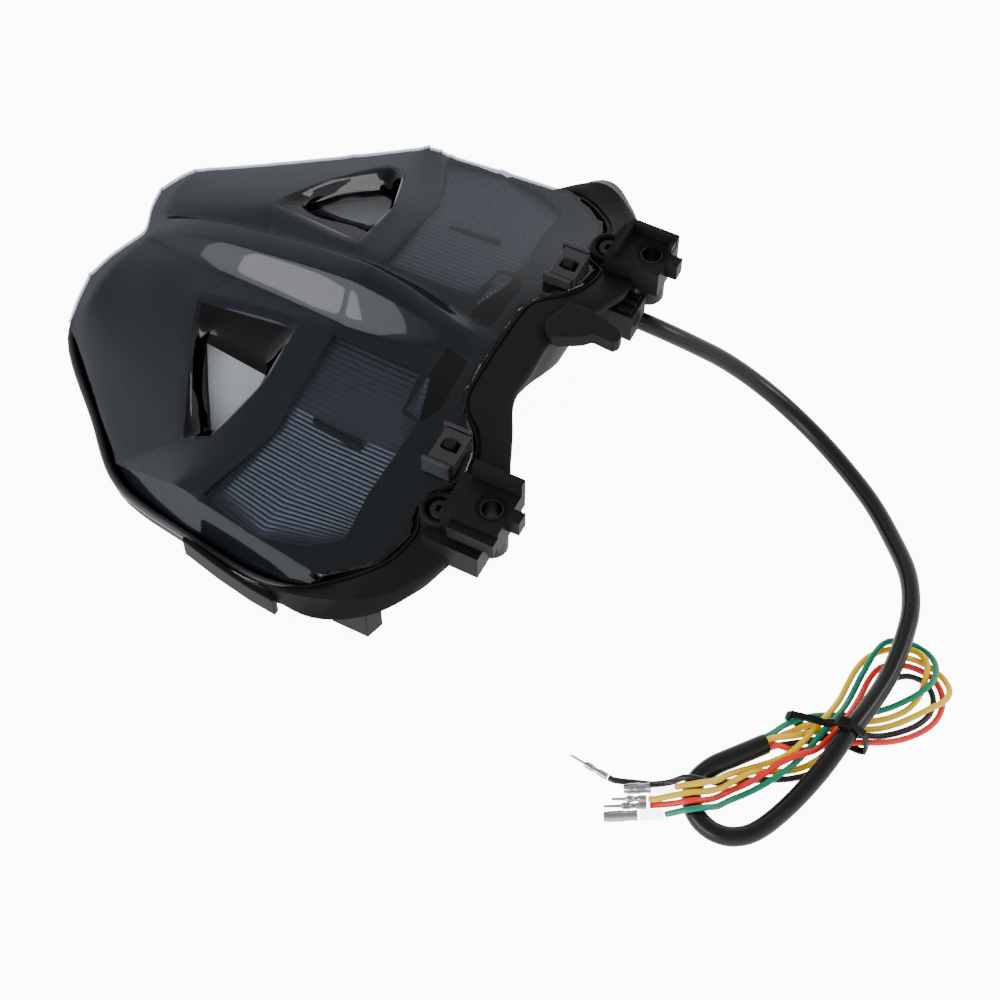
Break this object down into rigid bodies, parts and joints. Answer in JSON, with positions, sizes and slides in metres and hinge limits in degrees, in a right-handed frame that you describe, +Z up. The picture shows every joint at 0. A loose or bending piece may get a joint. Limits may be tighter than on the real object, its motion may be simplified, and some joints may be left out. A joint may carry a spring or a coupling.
{
  "type": "tail light",
  "caption": "Motorcycle tail light: smoked wedge-shaped lens with ribbed side panels on a black housing with bolt lugs, and a sleeved lead ending in loose wires.",
  "frame": {"origin": "on the flat underside of the housing's driver bay, in the lamp's plane of symmetry", "axes": "+X across the lamp's width, +Y from the pointed end towards the mounting lugs, +Z up through the lens"},
  "size_m": [0.2157, 0.3302, 0.0765],
  "materials": {
    "bright_steel": "bright zinc",
    "steel": "satin",
    "diode": "clear resin",
    "terminal_metal": "bright tin plate",
    "black_vinyl": "soft satin vinyl",
    "rubber": "matt",
    "tie_nylon": "satin nylon",
    "board_part": "satin",
    "black_plastic": "satin moulded",
    "circuit_board": "solder-masked laminate",
    "smoked_lens": "polished smoked plastic",
    "dark_reflector": "dark metallised",
    "prism_plastic": "polished, ribbed",
    "clear_sleeve": "clear soft sleeve",
    "frosted_plastic": "frosted",
    "wire_black": "soft satin vinyl",
    "wire_green": "soft satin vinyl",
    "wire_red": "soft satin vinyl",
    "wire_yellow": "soft satin vinyl"
  },
  "bodies": {
    "root": {"board_screw_1": "bright_steel", "board_screw_2": "bright_steel", "board_screw_3": "bright_steel", "board_screw_4": "bright_steel", "boss_screw_left": "steel", "boss_screw_right": "steel", "brake_led_1": "diode", "brake_led_2": "diode", "brake_led_3": "diode", "brake_led_4": "diode", "bullet_green": "terminal_metal", "bullet_yellow_a": "terminal_metal", "cable": "black_vinyl", "cable_gland": "rubber", "cable_tie": "tie_nylon", "capacitor": "board_part", "coil": "board_part", "housing": "black_plastic", "led_board": "circuit_board", "lens": "smoked_lens", "lens_seal": "rubber", "lug_bush_left": "steel", "lug_bush_right": "steel", "pin_black": "terminal_metal", "pin_red": "terminal_metal", "pin_yellow_b": "terminal_metal", "reflector": "dark_reflector", "regulator": "board_part", "rib_lens_left": "prism_plastic", "rib_lens_right": "prism_plastic", "sleeve_green": "clear_sleeve", "sleeve_yellow_a": "clear_sleeve", "turn_led_left_1": "diode", "turn_led_left_2": "diode", "turn_led_left_3": "diode", "turn_led_left_4": "diode", "turn_led_right_1": "diode", "turn_led_right_2": "diode", "turn_led_right_3": "diode", "turn_led_right_4": "diode", "window_diffuser_left": "frosted_plastic", "window_diffuser_right": "frosted_plastic", "wire_black": "wire_black", "wire_green": "wire_green", "wire_red": "wire_red", "wire_yellow_a": "wire_yellow", "wire_yellow_b": "wire_yellow"}
  },
  "joints": []
}
